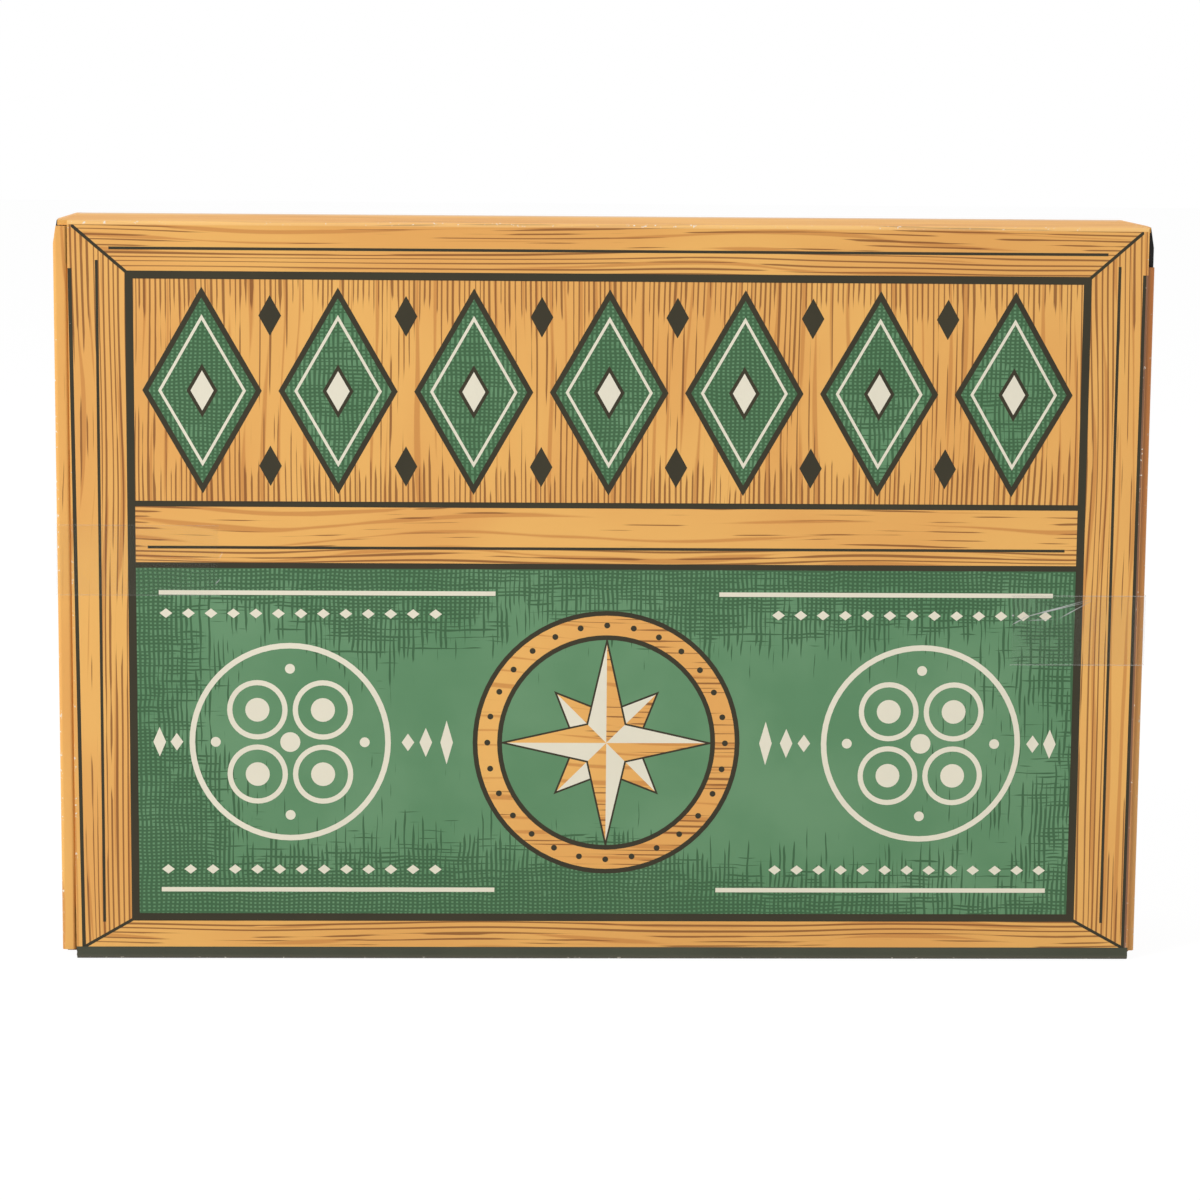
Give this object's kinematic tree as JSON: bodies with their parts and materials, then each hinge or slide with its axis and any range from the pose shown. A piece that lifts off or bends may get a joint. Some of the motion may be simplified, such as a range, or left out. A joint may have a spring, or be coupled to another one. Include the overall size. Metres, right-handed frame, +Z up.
{
  "type": "shut the box game in its carton",
  "caption": "Upright printed corrugated carton with a hinged taped lid and outer flap, holding a wooden dice game with number tiles that flip on a rod.",
  "frame": {"origin": "middle of the rectangle that the carton stands on, at its foot", "axes": "+X to the right seen from the front, -Y out of the lid's face towards the viewer, +Z up"},
  "size_m": [0.2924, 0.0571, 0.199],
  "materials": {
    "printed_board": "coated print, satin",
    "plain_board": "uncoated liner",
    "dark_board": "coated print, satin",
    "clear_tape": "clear film",
    "plywood": "sanded",
    "rail_wood": "satin lacquer",
    "tile_wood": "satin lacquer",
    "green_felt": "felt",
    "steel": "bright drawn",
    "ivory_plastic": "polished",
    "leaflet_paper": "plain paper"
  },
  "bodies": {
    "carton": {"carton_back": "printed_board", "hinge_wall": "printed_board", "lower_wall": "printed_board", "left_outer_wall": "printed_board", "right_outer_wall": "printed_board", "left_inner_wall": "plain_board", "right_inner_wall": "plain_board", "left_wall_roll": "printed_board", "right_wall_roll": "printed_board", "corner_tabs": "plain_board"},
    "lid": {"lid_panel": "printed_board", "left_dust_flap": "plain_board", "right_dust_flap": "plain_board", "left_tape_seal": "clear_tape", "right_tape_seal": "clear_tape"},
    "front_flap": {"front_flap": "dark_board"},
    "game": {"base_board": "plywood", "back_rail": "rail_wood", "front_rail": "rail_wood", "left_rail": "rail_wood", "right_rail": "rail_wood", "divider_bar": "rail_wood", "tile_felt": "green_felt", "dice_felt": "green_felt", "tile_rod": "steel", "corner_brads": "steel"},
    "tile_1": {"tile_1": "tile_wood"},
    "tile_2": {"tile_2": "tile_wood"},
    "tile_3": {"tile_3": "tile_wood"},
    "tile_4": {"tile_4": "tile_wood"},
    "tile_5": {"tile_5": "tile_wood"},
    "tile_6": {"tile_6": "tile_wood"},
    "tile_7": {"tile_7": "tile_wood"},
    "tile_8": {"tile_8": "tile_wood"},
    "tile_9": {"tile_9": "tile_wood"},
    "left_die": {"left_die": "ivory_plastic"},
    "right_die": {"right_die": "ivory_plastic"},
    "leaflet": {"leaflet": "leaflet_paper"}
  },
  "joints": [
    {"name": "lid_hinge", "type": "hinge", "parent": "carton", "child": "lid", "pos_m": [0, -0.0275, 0.198], "axis": [-1, 0, 0], "range_deg": [0, 180]},
    {"name": "flap_crease", "type": "hinge", "parent": "lid", "child": "front_flap", "pos_m": [0, -0.0275, 0.001], "axis": [-1, 0, 0], "range_deg": [0, 100]},
    {"name": "game_lift", "type": "slide", "parent": "carton", "child": "game", "axis": [0, -1, 0], "range_m": [0, 0.063]},
    {"name": "leaflet_lift", "type": "slide", "parent": "carton", "child": "leaflet", "axis": [0, -1, 0], "range_m": [0, 0.0252]},
    {"name": "tile_1_flip", "type": "hinge", "parent": "game", "child": "tile_1", "pos_m": [-0.11351, 0.008, 0.1619], "axis": [-1, 0, 0], "range_deg": [0, 140]},
    {"name": "tile_2_flip", "type": "hinge", "parent": "game", "child": "tile_2", "pos_m": [-0.08513, 0.008, 0.1619], "axis": [-1, 0, 0], "range_deg": [0, 140]},
    {"name": "tile_3_flip", "type": "hinge", "parent": "game", "child": "tile_3", "pos_m": [-0.05676, 0.008, 0.1619], "axis": [-1, 0, 0], "range_deg": [0, 140]},
    {"name": "tile_4_flip", "type": "hinge", "parent": "game", "child": "tile_4", "pos_m": [-0.02838, 0.008, 0.1619], "axis": [-1, 0, 0], "range_deg": [0, 140]},
    {"name": "tile_5_flip", "type": "hinge", "parent": "game", "child": "tile_5", "pos_m": [0, 0.008, 0.1619], "axis": [-1, 0, 0], "range_deg": [0, 140]},
    {"name": "tile_6_flip", "type": "hinge", "parent": "game", "child": "tile_6", "pos_m": [0.02838, 0.008, 0.1619], "axis": [-1, 0, 0], "range_deg": [0, 140]},
    {"name": "tile_7_flip", "type": "hinge", "parent": "game", "child": "tile_7", "pos_m": [0.05676, 0.008, 0.1619], "axis": [-1, 0, 0], "range_deg": [0, 140]},
    {"name": "tile_8_flip", "type": "hinge", "parent": "game", "child": "tile_8", "pos_m": [0.08513, 0.008, 0.1619], "axis": [-1, 0, 0], "range_deg": [0, 140]},
    {"name": "tile_9_flip", "type": "hinge", "parent": "game", "child": "tile_9", "pos_m": [0.11351, 0.008, 0.1619], "axis": [-1, 0, 0], "range_deg": [0, 140]},
    {"name": "left_die_roll", "type": "slide", "parent": "game", "child": "left_die", "axis": [1, 0, 0], "range_m": [-0.075, 0.036]},
    {"name": "right_die_roll", "type": "slide", "parent": "game", "child": "right_die", "axis": [1, 0, 0], "range_m": [-0.036, 0.075]}
  ],
  "couplings": [
    {"joint": "game_lift", "follows": "lid_hinge", "m_per_rad": 0.02},
    {"joint": "leaflet_lift", "follows": "lid_hinge", "m_per_rad": 0.008}
  ]
}
